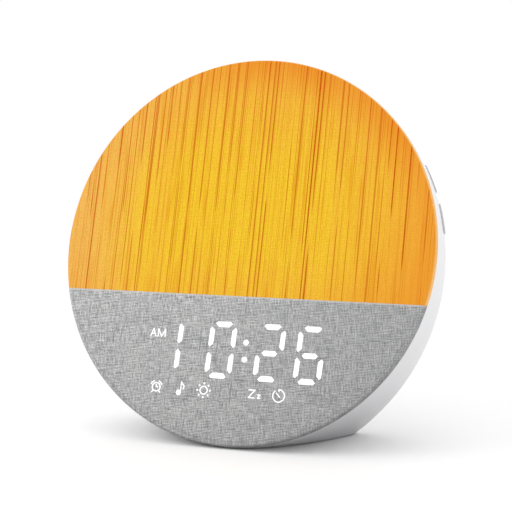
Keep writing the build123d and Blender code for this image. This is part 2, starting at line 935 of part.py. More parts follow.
with BuildPart() as capacitors:
    with BuildSketch(layer(main_board_depth)):
        with Locations(*capacitor_places):
            Circle(capacitor_radius)
    extrude(amount=capacitor_height)
write(capacitors, "capacitors")

holder_back = main_board_back + cell_holder_floor + cell_thick
with BuildPart() as cell_holder:
    with BuildSketch(layer(main_board_back)):
        with Locations(cell_place):
            Circle(cell_radius + fit_gap + cell_holder_wall)
    extrude(amount=main_board_back - holder_back)
    with BuildSketch(layer(main_board_back + cell_holder_floor)):
        with Locations(cell_place):
            Circle(cell_radius + fit_gap)
    extrude(amount=-cell_thick, mode=Mode.SUBTRACT)
    with BuildSketch(layer(main_board_back + cell_holder_floor)):
        with Locations((cell_place[0], cell_place[1] + cell_radius)):
            Rectangle(cell_radius, cell_radius)
    extrude(amount=-cell_thick, mode=Mode.SUBTRACT)
write(cell_holder, "cell_holder")

with BuildPart() as backup_cell:
    with BuildSketch(layer(main_board_back + cell_holder_floor)):
        with Locations(cell_place):
            Circle(cell_radius)
    extrude(amount=-cell_thick)
    fillet(backup_cell.faces().sort_by(face_axis)[0].edges(), radius=cell_edge)
write(backup_cell, "backup_cell")

# ---------------------------------------------------------------- rear board and power socket

rear_board_half_width = max(rear_button_across) + switch_size / 2 + rear_board_margin
with BuildPart() as rear_board:
    with BuildSketch(layer(rear_board_back)) as rear_outline:
        with Locations((0, rear_row_up)):
            Rectangle(2 * rear_board_half_width, 2 * rear_board_half_height)
        fillet(rear_outline.vertices(), radius=board_corner)
        with Locations(*rear_posts):
            Circle(board_screw["shank"] + fit_gap, mode=Mode.SUBTRACT)
    extrude(amount=board_thick)
write(rear_board, "rear_board")

with BuildPart() as rear_board_screws:
    add(screws(layer(rear_board_depth), rear_posts, board_screw, 1))
write(rear_board_screws, "rear_board_screws")

socket_mouth = rear_depth - socket_sunk
with BuildPart() as power_socket:
    with BuildSketch(layer(rear_board_back)):
        with Locations((0, rear_row_up)):
            SlotOverall(socket_width, socket_height)
    extrude(amount=rear_board_back - socket_mouth)
    with BuildSketch(layer(socket_mouth)):
        with Locations((0, rear_row_up)):
            SlotOverall(socket_width - 2 * socket_wall, socket_height - 2 * socket_wall)
    extrude(amount=socket_room, mode=Mode.SUBTRACT)
write(power_socket, "power_socket")

with BuildPart() as socket_tongue:
    with BuildSketch(layer(socket_mouth - socket_room)):
        with Locations((0, rear_row_up)):
            Rectangle(tongue_width, tongue_thick)
    extrude(amount=tongue_sunk - socket_room)
write(socket_tongue, "socket_tongue")

# ---------------------------------------------------------------- switches and push buttons

rear_switch_places = [(x, rear_row_up) for x in rear_button_across]
rear_switch_back = rear_board_back + switch_height
plunger_hole_depth = plunger_depth + button_travel + press_gap

with BuildPart() as rear_switches:
    with BuildSketch(layer(rear_switch_back)):
        with Locations(*rear_switch_places):
            Rectangle(switch_size, switch_size)
    extrude(amount=switch_height)
    with BuildSketch(layer(rear_switch_back)):
        with Locations(*rear_switch_places):
            Circle(plunger_radius + plunger_gap)
    extrude(amount=plunger_hole_depth, mode=Mode.SUBTRACT)
write(rear_switches, "rear_switches")

rear_flange_depth = inside_depth - fit_gap - rear_flange_thick
stem_end = rear_switch_back + plunger_proud + press_gap
for name, place in zip(rear_button_names, rear_switch_places):
    with BuildPart() as button:
        with BuildSketch(layer(rear_depth + rear_button_proud)):
            with Locations(place):
                Circle(rear_button_radius)
        extrude(amount=rear_depth + rear_button_proud - rear_flange_depth)
        fillet(button.faces().sort_by(face_axis)[0].edges(), radius=rear_button_edge)
        with BuildSketch(layer(rear_flange_depth)):
            with Locations(place):
                Circle(rear_button_radius + button_gap + flange_lip)
        extrude(amount=-rear_flange_thick)
        with BuildSketch(layer(rear_flange_depth)):
            with Locations(place):
                Circle(stem_radius)
        extrude(amount=rear_flange_depth - stem_end)
    write(button, name)
    with BuildPart() as plunger:
        with BuildSketch(layer(rear_switch_back + plunger_proud)):
            with Locations(place):
                Circle(plunger_radius)
        extrude(amount=plunger_proud + plunger_depth)
    write(plunger, name.replace("button", "plunger"))

with BuildPart() as side_board:
    with BuildSketch(side.offset(-side_board_drop)) as side_outline:
        Rectangle(side_post_pitch + 2 * side_post_margin, side_board_width)
        with Locations(*side_posts):
            Circle(board_screw["shank"] + fit_gap, mode=Mode.SUBTRACT)
    extrude(amount=-board_thick)
write(side_board, "side_board")

with BuildPart() as side_board_screws:
    add(screws(side.offset(-side_board_drop - board_thick), side_posts, board_screw, -1))
write(side_board_screws, "side_board_screws")

with BuildPart() as side_switches:
    with BuildSketch(side.offset(-side_board_drop)):
        with Locations(*[(x, 0) for x in side_buttons.values()]):
            Rectangle(switch_size, switch_size)
    extrude(amount=switch_height)
    with BuildSketch(side.offset(-switch_drop)):
        with Locations(*[(x, 0) for x in side_buttons.values()]):
            Circle(plunger_radius + plunger_gap)
    extrude(amount=-plunger_hole_depth, mode=Mode.SUBTRACT)
write(side_switches, "side_switches")

for name, across in side_buttons.items():
    with BuildPart() as button:
        with BuildSketch(side.offset(-side_flange_drop - side_flange_thick)):
            with Locations((across, 0)):
                SlotOverall(side_button_length, side_button_width)
        extrude(amount=side_flange_drop + side_flange_thick + side_button_width)
        add(bowl(-side_button_proud), mode=Mode.INTERSECT)
        with BuildSketch(side.offset(-side_flange_drop - side_flange_thick)):
            with Locations((across, 0)):
                SlotOverall(side_button_length + 2 * flange_lip, side_button_width + 2 * flange_lip)
        extrude(amount=side_flange_thick)
    write(button, name)
    with BuildPart() as plunger:
        with BuildSketch(side.offset(-plunger_drop)):
            with Locations((across, 0)):
                Circle(plunger_radius)
        extrude(amount=-plunger_proud - plunger_depth)
    write(plunger, name.replace("button", "plunger"))

# ---------------------------------------------------------------- speaker

basket_back = flange_depth - basket_depth


def speaker_circle(radius):
    """Draws a circle on the speaker's axis."""
    with Locations((0, speaker_up)):
        Circle(radius)


with BuildPart() as speaker_gasket:
    with BuildSketch(layer(inside_depth)):
        speaker_circle(speaker_radius)
        with Locations((0, speaker_up)):
            Circle(speaker_radius - speaker_flange, mode=Mode.SUBTRACT)
    extrude(amount=gasket_thick)
write(speaker_gasket, "speaker_gasket")

with BuildPart() as speaker_basket:
    with BuildSketch(layer(flange_depth + speaker_flange_thick)):
        speaker_circle(speaker_radius)
    extrude(amount=speaker_flange_thick)
    with BuildSketch(layer(flange_depth)):
        speaker_circle(speaker_radius - speaker_flange + basket_wall)
    with BuildSketch(layer(basket_back)):
        speaker_circle(basket_back_radius)
    loft()
    with BuildSketch(layer(flange_depth + speaker_flange_thick)):
        speaker_circle(speaker_radius - speaker_flange)
    extrude(amount=speaker_flange_thick, mode=Mode.SUBTRACT)
    with BuildSketch(layer(flange_depth)):
        speaker_circle(speaker_radius - speaker_flange)
    with BuildSketch(layer(basket_back + basket_wall)):
        speaker_circle(basket_back_radius - basket_wall)
    loft(mode=Mode.SUBTRACT)
write(speaker_basket, "speaker_basket")

with BuildPart() as speaker_magnet:
    with BuildSketch(layer(basket_back)):
        speaker_circle(magnet_radius)
    extrude(amount=magnet_thick)
write(speaker_magnet, "speaker_magnet")

cone_radius = speaker_radius - speaker_flange - surround_width
cone_front = flange_depth + speaker_flange_thick
cone_back = cone_front - cone_depth
with BuildPart() as speaker_cone:
    with BuildSketch(layer(cone_front)):
        speaker_circle(cone_radius)
    with BuildSketch(layer(cone_back)):
        speaker_circle(coil_radius)
    loft()
    with BuildSketch(layer(cone_front)):
        speaker_circle(cone_radius - cone_wall)
    with BuildSketch(layer(cone_back + cone_wall)):
        speaker_circle(coil_radius - cone_wall)
    loft(mode=Mode.SUBTRACT)
    with BuildSketch(layer(cone_back)):
        speaker_circle(coil_radius)
    extrude(amount=cone_back - basket_back - basket_wall)
write(speaker_cone, "speaker_cone")

with BuildPart() as speaker_surround:
    with BuildSketch(layer(flange_depth + speaker_flange_thick)):
        speaker_circle(speaker_radius - speaker_flange)
        with Locations((0, speaker_up)):
            Circle(cone_radius, mode=Mode.SUBTRACT)
    extrude(amount=speaker_flange_thick)
write(speaker_surround, "speaker_surround")

terminal_top = speaker_up - magnet_radius - fit_gap
with BuildPart() as speaker_terminals:
    with BuildSketch(layer(basket_back)):
        block(-terminal_width / 2, terminal_width / 2, terminal_top - terminal_reach, terminal_top)
    extrude(amount=terminal_thick)
write(speaker_terminals, "speaker_terminals")

with BuildPart() as speaker_screws:
    add(screws(layer(flange_depth), speaker_bosses, speaker_screw, 1))
write(speaker_screws, "speaker_screws")

with BuildPart() as case_screws:
    add(screws(layer(upper_seat_depth + well_floor), upper_screws, case_screw, -1))
    add(screws(layer(lower_seat_depth + well_floor), lower_screws, case_screw, -1))
write(case_screws, "case_screws")

# ---------------------------------------------------------------- ribbons and leads


def ribbon(name, place, front, back):
    """A flat ribbon between two boards, with a connector at each end."""
    across, front_up, back_up = place[0], display_up + place[1], display_up + place[2]
    with BuildPart() as sockets:
        for depth, height, way in ((front, front_up, -1), (back, back_up, 1)):
            with BuildSketch(layer(depth)):
                with Locations((across, height)):
                    Rectangle(ribbon_width + 2 * connector_margin, connector_depth)
            extrude(amount=way * connector_height)
    write(sockets, f"{name}_connectors")
    start, end = front + connector_height, back - connector_height
    quarter = (end - start) / 4
    side_view = Plane(
        origin=face.from_local_coords((across + ribbon_width / 2, 0, 0)),
        x_dir=face.y_dir,
        z_dir=(1, 0, 0),
    )
    with BuildPart() as strip:
        with BuildSketch(side_view):
            with BuildLine():
                FilletPolyline(
                    (front_up, -start),
                    (front_up, -start - quarter),
                    (back_up, -end + quarter),
                    (back_up, -end),
                    radius=quarter / 2,
                )
            trace(line_width=ribbon_thick)
        extrude(amount=-ribbon_width)
    write(strip, f"{name}_ribbon")


ribbon("display", display_ribbon_place, display_board_back, main_board_depth)
ribbon("light", light_ribbon_place, light_board_back, main_board_depth)
ribbon("rear", rear_ribbon_place, main_board_back, rear_board_depth)


def lead(path_places):
    """A round lead through places given as (across, up, depth), with the widest bends that fit."""
    points = [face.from_local_coords((x, y, -depth)) for x, y, depth in path_places]
    runs = [end - start for start, end in zip(points, points[1:])]
    bends = [
        bend_share * min(a.length, b.length) / tan(radians(a.get_angle(b)) / 2)
        for a, b in zip(runs, runs[1:])
    ]
    with BuildPart() as wire:
        with BuildLine() as path:
            FilletPolyline(*points, radius=bends)
        with BuildSketch(Plane(origin=path.line @ 0, z_dir=path.line % 0)):
            Circle(lead_radius)
        sweep()
    return wire.part


terminal_face = basket_back - terminal_thick
lead_up = terminal_top - terminal_reach / 2
lead_third = (terminal_face - main_board_back) / 3
with BuildPart() as speaker_leads:
    for way in (-1, 1):
        start = way * speaker_lead_pitch / 2
        end = start + speaker_lead_shift
        add(
            lead(
                [
                    (start, lead_up, terminal_face),
                    (start, lead_up, terminal_face - lead_third),
                    (end, lead_up, main_board_back + lead_third),
                    (end, lead_up, main_board_back),
                ]
            )
        )
write(speaker_leads, "speaker_leads")

side_board_face = face_radius - side_board_drop - board_thick
side_lead_start = (*on_circle(side_board_face, side_angle), side_depth)
side_lead_turn = (*on_circle(side_board_face - side_lead_run, side_angle), side_depth)
side_lead_route = [(across, display_up + rise, depth) for across, rise, depth in side_lead_places]
side_lead_end = (*side_lead_route[-1][:2], main_board_depth)
with BuildPart() as side_lead:
    add(lead([side_lead_start, side_lead_turn, *side_lead_route, side_lead_end]))
write(side_lead, "side_lead")
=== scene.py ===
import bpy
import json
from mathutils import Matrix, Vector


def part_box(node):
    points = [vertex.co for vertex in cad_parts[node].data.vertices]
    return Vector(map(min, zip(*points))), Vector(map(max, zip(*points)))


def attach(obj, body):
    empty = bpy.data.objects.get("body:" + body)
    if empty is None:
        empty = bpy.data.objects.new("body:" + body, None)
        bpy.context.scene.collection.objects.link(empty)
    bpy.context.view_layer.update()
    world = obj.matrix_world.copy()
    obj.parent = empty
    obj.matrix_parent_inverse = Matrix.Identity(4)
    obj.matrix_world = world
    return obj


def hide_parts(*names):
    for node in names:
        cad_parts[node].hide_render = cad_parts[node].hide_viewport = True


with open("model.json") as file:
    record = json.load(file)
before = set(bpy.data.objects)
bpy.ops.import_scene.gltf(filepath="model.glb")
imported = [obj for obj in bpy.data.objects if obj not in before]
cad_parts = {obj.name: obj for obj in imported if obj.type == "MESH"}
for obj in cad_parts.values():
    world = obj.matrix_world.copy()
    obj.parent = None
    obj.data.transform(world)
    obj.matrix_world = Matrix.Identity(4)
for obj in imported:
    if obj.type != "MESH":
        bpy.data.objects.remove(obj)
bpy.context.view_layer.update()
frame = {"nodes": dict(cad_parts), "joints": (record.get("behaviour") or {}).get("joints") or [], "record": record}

import json
import math

import bmesh
import bpy
from mathutils import Vector

nodes = frame["nodes"]
members = frame["record"]["behaviour"]["bodies"]
bodyOf = {node: body for body in members for node in members[body]}

mm = 0.001

# places on the leaning face: across to the right, rise up the face, depth into the clock
clock = dict(
    edgeDepth=3.0 * mm,  # from the front of the face back to the white shell
    edgeRoll=1.5 * mm,  # radius of the rounding along the rim
    splitRise=-20.7 * mm,  # seam between the two cloths
)
pressAxis = next(joint["axis"] for joint in frame["joints"] if joint["name"] == "set_press")
forward = Vector(pressAxis)
backward = -forward
upward = Vector((0, forward.z, -forward.y))
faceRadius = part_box("upper_cloth")[1].x
faceCentre = Vector(
    (0, 0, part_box("lower_cloth")[0].z + faceRadius * upward.z + clock["edgeDepth"] * upward.y)
)


def onFace(across, rise, depth=0.0):
    return faceCentre + Vector((across, 0, 0)) + rise * upward + depth * backward


def faceMillimetres(point):
    offset = Vector(point) - faceCentre
    return offset.x / mm, offset.dot(upward) / mm, offset.dot(backward) / mm


def newPiece(name, shape, body, finish, replaced=()):
    mesh = bpy.data.meshes.new(name)
    shape.to_mesh(mesh)
    shape.free()
    piece = bpy.data.objects.new(name, mesh)
    bpy.context.scene.collection.objects.link(piece)
    mesh.materials.append(finish)
    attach(piece, body)
    if replaced:
        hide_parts(*replaced)
    return piece


def mergedCopy(node, apart):
    # a CAD node's loose triangles, joined where their corners meet
    shape = bmesh.new()
    shape.from_mesh(nodes[node].data)
    bmesh.ops.remove_doubles(shape, verts=shape.verts[:], dist=apart)
    return shape


def paint(code):
    # a colour from its hexadecimal code, as linear light
    parts = [int(code[i : i + 2], 16) / 255 for i in (1, 3, 5)]
    return tuple(c / 12.92 if c <= 0.04045 else ((c + 0.055) / 1.055) ** 2.4 for c in parts) + (1.0,)


def shaded(colour, factor, lift=0.0):
    # the same colour made darker or paler
    return tuple(c * factor + lift for c in colour[:3]) + (1.0,)


class Wire:
    # a socket that can stand in a sum, so that 1 - mask * 0.3 adds its Math nodes
    def __init__(self, graph, socket):
        self.graph = graph
        self.socket = socket

    def __add__(self, other):
        return self.graph.math("ADD", self, other)

    def __sub__(self, other):
        return self.graph.math("SUBTRACT", self, other)

    def __rsub__(self, other):
        return self.graph.math("SUBTRACT", other, self)

    def __mul__(self, other):
        return self.graph.math("MULTIPLY", self, other)

    def __truediv__(self, other):
        return self.graph.math("DIVIDE", self, other)

    def __pow__(self, other):
        return self.graph.math("POWER", self, other)

    __radd__ = __add__
    __rmul__ = __mul__

    def step(self, low, high, start=0.0, end=1.0):
        # start below low, end above high, and smooth in between
        settings = {"interpolation_type": "SMOOTHSTEP"}
        values = {0: self, 1: low, 2: high, 3: start, 4: end}
        return self.graph.add("ShaderNodeMapRange", settings, values)

    def zone(self, low, high, strength):
        # nothing below low, the full strength above high
        return self.step(low, high) * strength

    def beside(self, output):
        # another output of the same node
        return Wire(self.graph, self.socket.node.outputs[output])


class Graph:
    # a node tree and the nodes added to it
    def __init__(self, tree):
        self.tree = tree

    def add(self, kind, settings=None, values=None, output=0):
        node = self.tree.nodes.new(kind)
        for key, value in (settings or {}).items():
            setattr(node, key, value)
        for key, value in (values or {}).items():
            if isinstance(value, Wire):
                self.tree.links.new(value.socket, node.inputs[key])
            else:
                node.inputs[key].default_value = value
        return Wire(self, node.outputs[output])

    def math(self, operation, *values):
        return self.add("ShaderNodeMath", {"operation": operation}, dict(enumerate(values)))

    def axes(self, vector):
        parts = self.add("ShaderNodeSeparateXYZ", values={0: vector})
        return [parts.beside(i) for i in range(3)]

    def vector(self, x, y, z=0.0):
        return self.add("ShaderNodeCombineXYZ", values={0: x, 1: y, 2: z})

    def noise(self, vector, scale=1.0, detail=2.0, roughness=0.5):
        values = {"Vector": vector, "Scale": scale, "Detail": detail, "Roughness": roughness}
        return self.add("ShaderNodeTexNoise", values=values)


class Finish(Graph):
    # one material and its main shader
    def __init__(self, name, **constants):
        self.material = bpy.data.materials.new(name)
        self.material.use_nodes = True
        super().__init__(self.material.node_tree)
        self.shader = self.tree.nodes["Principled BSDF"]
        self.output = self.tree.nodes["Material Output"]
        for socket, value in constants.items():
            self.shader.inputs[socket.replace("_", " ")].default_value = value

    def feed(self, socket, wire):
        self.tree.links.new(wire.socket, self.shader.inputs[socket])

    def place(self, stretch=(1.0, 1.0, 1.0)):
        # object coordinates in millimetres, then stretched
        where = self.add("ShaderNodeTexCoord", output=3)
        return self.add("ShaderNodeMapping", values={0: where, "Scale": tuple(s / mm for s in stretch)})

    def mix(self, factor, first, second):
        # colours: 0 gives the first, 1 gives the second
        settings = {"data_type": "RGBA", "clamp_factor": True}
        return self.add("ShaderNodeMix", settings, {0: factor, 6: first, 7: second}, output=2)

    def bump(self, height, strength, distance):
        values = {"Height": height, "Strength": strength, "Distance": distance}
        self.feed("Normal", self.add("ShaderNodeBump", values=values))


class Recipe(Graph):
    # Geometry Nodes that grow a shape from a starting mesh, with named sizes
    def __init__(self, name, sizes):
        super().__init__(bpy.data.node_groups.new(name, "GeometryNodeTree"))
        self.sizes = sizes
        sockets = self.tree.interface
        sockets.new_socket(name="shape", in_out="OUTPUT", socket_type="NodeSocketGeometry")
        sockets.new_socket(name="start", in_out="INPUT", socket_type="NodeSocketGeometry")
        kinds = {int: "NodeSocketInt", float: "NodeSocketFloat"}
        for label, value in sizes.items():
            kind = kinds.get(type(value), "NodeSocketMaterial")
            sockets.new_socket(name=label, in_out="INPUT", socket_type=kind)
        self.given = self.tree.nodes.new("NodeGroupInput")

    def size(self, label):
        return Wire(self, self.given.outputs[label])

    def spread(self, low, high, seed):
        # an even spread of random numbers, one for each point
        settings = {"data_type": "FLOAT"}
        values = {2: low, 3: high, "Seed": self.size("seed") + float(seed)}
        return self.add("FunctionNodeRandomValue", settings, values, output=1)

    def grow(self, start, shape):
        # realized, given its material, and read back as a plain shape
        plain = self.add("GeometryNodeRealizeInstances", values={0: shape})
        painted = self.add("GeometryNodeSetMaterial", values={0: plain, "Material": self.size("finish")})
        end = self.tree.nodes.new("NodeGroupOutput")
        self.tree.links.new(painted.socket, end.inputs[0])
        mesh = bpy.data.meshes.new(self.tree.name)
        start.to_mesh(mesh)
        start.free()
        carrier = bpy.data.objects.new(self.tree.name, mesh)
        bpy.context.scene.collection.objects.link(carrier)
        growth = carrier.modifiers.new(self.tree.name, "NODES")
        growth.node_group = self.tree
        for item in self.tree.interface.items_tree:
            if item.in_out == "INPUT" and item.name in self.sizes:
                growth[item.identifier] = self.sizes[item.name]
        evaluated = carrier.evaluated_get(bpy.context.evaluated_depsgraph_get())
        grown = bmesh.new()
        grown.from_mesh(bpy.data.meshes.new_from_object(evaluated))
        carrier.modifiers.remove(growth)
        bpy.data.objects.remove(carrier)
        return grown


# moulded plastic: a fine spark-eroded grain, with slow drifts in colour and gloss
plasticLook = dict(
    cloudPerMm=0.04,
    cloudEdges=(0.3, 0.7),
    cloudDulling=0.05,
    grainPerMm=1.6,
    grainDulling=0.03,
    relief=(0.5, 0.006 * mm),  # strength and depth of the bump
    coatRoughness=0.15,
)


def plastic(name, colour, roughness, shade=0.03, coat=0.0):
    look = plasticLook
    finish = Finish(name, Coat_Weight=coat, Coat_Roughness=look["coatRoughness"])
    where = finish.place()
    cloud = finish.noise(where, look["cloudPerMm"], 3)
    grain = finish.noise(where, look["grainPerMm"], 2, 0.6)
    dark = shaded(colour, 1 - shade)
    finish.feed("Base Color", finish.mix(cloud.step(*look["cloudEdges"]), colour, dark))
    least = roughness - (look["cloudDulling"] + look["grainDulling"]) / 2
    finish.feed("Roughness", least + cloud * look["cloudDulling"] + grain * look["grainDulling"])
    finish.bump(grain, *look["relief"])
    return finish.material


# metal brushed along the clock's width
metalLook = dict(
    brushPerMm=3.0,
    brushStretch=(1.0, 0.05, 0.05),
    brushDulling=0.12,
    cloudPerMm=0.3,
    cloudEdges=(0.3, 0.7),
    cloudShade=0.8,
    relief=(0.3, 0.004 * mm),
)


def metal(name, colour, roughness):
    look = metalLook
    finish = Finish(name, Metallic=1.0)
    brush = finish.noise(finish.place(look["brushStretch"]), look["brushPerMm"], 3, 0.6)
    cloud = finish.noise(finish.place(), look["cloudPerMm"], 2)
    dark = shaded(colour, look["cloudShade"])
    finish.feed("Base Color", finish.mix(cloud.step(*look["cloudEdges"]), colour, dark))
    finish.feed("Roughness", roughness - look["brushDulling"] / 2 + brush * look["brushDulling"])
    finish.bump(brush, *look["relief"])
    return finish.material


# rubber and foam: fine pores and a little dust
rubberLook = dict(
    poresPerMm=2.4,
    poreEdges=(0.0, 0.5),
    dustPerMm=0.12,
    dustEdges=(0.45, 0.75),
    dustPaling=(1.6, 0.012),  # the dust's colour: a factor on the rubber's own, and a lift
    roughness=0.82,
    dustDulling=0.1,
    relief=(0.5, 0.02 * mm),
)


def rubber(name, colour):
    look = rubberLook
    finish = Finish(name)
    where = finish.place()
    pores = finish.add("ShaderNodeTexVoronoi", values={"Vector": where, "Scale": look["poresPerMm"]})
    dust = finish.noise(where, look["dustPerMm"], 4)
    pale = shaded(colour, *look["dustPaling"])
    finish.feed("Base Color", finish.mix(dust.step(*look["dustEdges"]), colour, pale))
    finish.feed("Roughness", look["roughness"] + dust * look["dustDulling"])
    finish.bump(pores.step(*look["poreEdges"]), *look["relief"])
    return finish.material


# lacquered laminate with faint copper tracks under the lacquer
boardLook = dict(
    laminate=paint("#0F4A24"),
    track=paint("#2C7A45"),
    trackStrength=0.7,
    tracksPerMm=0.22,
    trackWidth=0.035,  # in shares of the tracks' pattern
    weavePerMm=1.4,
    roughness=0.35,
    weaveDulling=0.1,
    relief=(0.4, 0.03 * mm),
    lacquer=0.4,
    lacquerRoughness=0.2,
)


def board(name):
    look = boardLook
    finish = Finish(name, Coat_Weight=look["lacquer"], Coat_Roughness=look["lacquerRoughness"])
    where = finish.place()
    tracks = finish.add(
        "ShaderNodeTexBrick",
        {"offset": 0.37, "squash": 1.7, "squash_frequency": 3},
        {"Vector": where, "Scale": look["tracksPerMm"], "Mortar Size": look["trackWidth"]},
        output=1,
    )
    weave = finish.noise(where, look["weavePerMm"], 2)
    finish.feed("Base Color", finish.mix(tracks * look["trackStrength"], look["laminate"], look["track"]))
    finish.feed("Roughness", look["roughness"] + weave * look["weaveDulling"])
    finish.bump(tracks, *look["relief"])
    return finish.material


finishes = {
    "shell_white": plastic("shellWhite", paint("#F4F4F6"), 0.36, 0.015, coat=0.15),
    "button_grey": plastic("buttonGrey", paint("#C9C9CF"), 0.45, 0.03),
    "button_white": plastic("buttonWhite", paint("#F1F1F0"), 0.34, 0.015, coat=0.15),
    "pad_black": rubber("padRubber", paint("#1A1A1B")),
    "frame_white": plastic("frameWhite", paint("#EDEDE9"), 0.5),
    "opal_white": plastic("opalSheet", paint("#F6F2E6"), 0.3),
    "reflector_white": plastic("reflectorWhite", paint("#F5F5F2"), 0.45),
    "guide_white": plastic("lightGuide", paint("#F7F7F7"), 0.3),
    "housing_black": plastic("housingBlack", paint("#1C1C1D"), 0.5),
    "board_green": board("boardLacquer"),
    "light_yellow": plastic("lightResin", paint("#F2D66A"), 0.25),
    "chip_black": plastic("chipResin", paint("#202022"), 0.55),
    "can_silver": metal("capacitorCan", paint("#C9C9CC"), 0.3),
    "steel_screw": metal("zincScrew", paint("#B9BBBE"), 0.32),
    "cell_steel": metal("cellSteel", paint("#CDCDCB"), 0.25),
    "holder_black": plastic("holderBlack", paint("#1D1D1E"), 0.5),
    "socket_steel": metal("socketSteel", paint("#B4B5B8"), 0.28),
    "tongue_black": plastic("tongueBlack", paint("#19191A"), 0.45),
    "switch_black": plastic("switchBlack", paint("#1E1E20"), 0.5),
    "plunger_black": plastic("plungerBlack", paint("#28282A"), 0.45),
    "basket_steel": metal("basketSteel", paint("#3A3A3C"), 0.45),
    "magnet_grey": metal("magnetGrey", paint("#6A6A6D"), 0.5),
    "cone_black": rubber("conePaper", paint("#1B1B1C")),
    "surround_rubber": rubber("surroundRubber", paint("#161616")),
    "gasket_foam": rubber("gasketFoam", paint("#262626")),
    "ribbon_grey": plastic("ribbonGrey", paint("#B9BABC"), 0.4),
    "connector_cream": plastic("connectorCream", paint("#E9E2CC"), 0.4),
    "lead_red": plastic("leadRed", paint("#A8231E"), 0.4),
}
print("plain finishes:", len(finishes))

cloth = dict(
    thick=0.4 * mm,
    hem=2.3 * mm,  # turned in behind the rim
    around=288,  # steps round the rim
    rings=22,  # steps from the middle to the rim, closer together outwards
    ringPower=0.8,
    rollSteps=7,
    shellGap=0.02 * mm,  # between the hem and the white shell
    # the rounding behind the rim: points this far inwards, and before the hem
    backRound=((0.0, 0.4 * mm), (0.12 * mm, 0.1 * mm), (0.4 * mm, 0.0)),
    seamGap=0.3 * mm,
    # the cut edge moves this far into the seam and down, fold by fold
    folds=((0.08 * mm, 0.03 * mm), (0.03 * mm, 0.35 * mm / 3), (0.0, 0.35 * mm)),
    span=200 * mm,  # width of the pattern's map
    weavePitch=0.92,  # of the weave's pattern, in millimetres
    crossingPitch=0.38,  # of the single threads, in millimetres
)


def clothProfile():
    # radius, depth and way along the cloth, from the middle of the face round the rim and the hem
    roll, edge = clock["edgeRoll"], clock["edgeDepth"] - cloth["shellGap"]
    flat = faceRadius - roll
    rings = [ring / cloth["rings"] for ring in range(1, cloth["rings"] + 1)]
    profile = [(flat * share ** cloth["ringPower"], 0.0) for share in rings]
    for step in range(1, cloth["rollSteps"] + 1):
        turn = math.pi / 2 * step / cloth["rollSteps"]
        profile.append((flat + roll * math.sin(turn), roll * (1 - math.cos(turn))))
    profile += [(faceRadius - inwards, edge - before) for inwards, before in cloth["backRound"]]
    profile.append((faceRadius - cloth["hem"], edge))
    along, last, rows = 0.0, (0.0, 0.0), []
    for radius, depth in profile:
        along += math.dist(last, (radius, depth))
        last = (radius, depth)
        rows.append((radius, depth, along))
    return rows


def roundCloth(rows):
    # one cloth over the whole face, with its flat places as a map
    shape = bmesh.new()
    flatMap = shape.loops.layers.uv.new("flatCloth")
    flatPlace = {}

    def vertexAt(radius, depth, along, turn):
        vertex = shape.verts.new(onFace(radius * math.cos(turn), radius * math.sin(turn), depth))
        flatPlace[vertex] = (along * math.cos(turn), along * math.sin(turn))
        return vertex

    turns = [2 * math.pi * s / cloth["around"] for s in range(cloth["around"])]
    middle = vertexAt(0.0, 0.0, 0.0, 0.0)
    rings = [[vertexAt(*row, turn) for turn in turns] for row in rows]
    for s in range(cloth["around"]):
        after = (s + 1) % cloth["around"]
        shape.faces.new((middle, rings[0][s], rings[0][after]))
        for inner, outer in zip(rings, rings[1:]):
            shape.faces.new((inner[s], outer[s], outer[after], inner[after]))
    for face in shape.faces:
        for loop in face.loops:
            x, y = flatPlace[loop.vert]
            loop[flatMap].uv = (0.5 + x / cloth["span"], 0.5 + y / cloth["span"])
    return shape


def cutAtSeam(shape, side, cutRise):
    # keeps one side of the split, and folds the cut edge into the seam
    cut = bmesh.ops.bisect_plane(
        shape,
        geom=shape.verts[:] + shape.edges[:] + shape.faces[:],
        plane_co=onFace(0, cutRise),
        plane_no=-side * upward,
        clear_outer=True,
    )
    rollDepth = clock["edgeRoll"] / mm  # what lies deeper is the back of the rim and isn't folded
    edges = [item for item in cut["geom_cut"] if isinstance(item, bmesh.types.BMEdge)]
    edges = [edge for edge in edges if all(faceMillimetres(v.co)[2] < rollDepth for v in edge.verts)]
    for out, down in cloth["folds"]:
        grown = bmesh.ops.extrude_edge_only(shape, edges=edges)["geom"]
        for vertex in (item for item in grown if isinstance(item, bmesh.types.BMVert)):
            vertex.co += down * backward - side * out * upward
        edges = [item for item in grown if isinstance(item, bmesh.types.BMEdge)]
    bmesh.ops.recalc_face_normals(shape, faces=shape.faces[:])
    front = max(shape.faces, key=lambda face: face.calc_area())
    if front.normal.dot(forward) < 0:
        bmesh.ops.reverse_faces(shape, faces=shape.faces[:])


def stretchedCloth(name, above, finish, replaced):
    rows = clothProfile()
    side = 1 if above else -1
    cutRise = clock["splitRise"] + side * cloth["seamGap"] / 2
    shape = roundCloth(rows)
    cutAtSeam(shape, side, cutRise)
    for face in shape.faces:
        face.smooth = True
    area = sum(face.calc_area() for face in shape.faces)
    piece = newPiece(name, shape, "clock", finish, replaced)
    thickness = piece.modifiers.new("thickness", "SOLIDIFY")
    thickness.thickness = cloth["thick"]
    thickness.offset = -1.0
    reach = rows[-1][2]
    low = max(-reach, cutRise) if above else -reach
    high = reach if above else cutRise
    width = 2 * reach if above else 2 * math.sqrt(reach**2 - cutRise**2)
    high - low
    print(name, "flat", round(width, 4), "x", round(high - low, 4), "area", round(area, 5))


def clothAxes(finish):
    # flat cloth places in millimetres, from the middle of the face: across, up, and outwards
    where = finish.add("ShaderNodeUVMap", {"uv_map": "flatCloth"})
    across, rise, _ = finish.axes(where)
    across = (across - 0.5) * (cloth["span"] / mm)
    rise = (rise - 0.5) * (cloth["span"] / mm)
    return across, rise, (across * across + rise * rise) ** 0.5


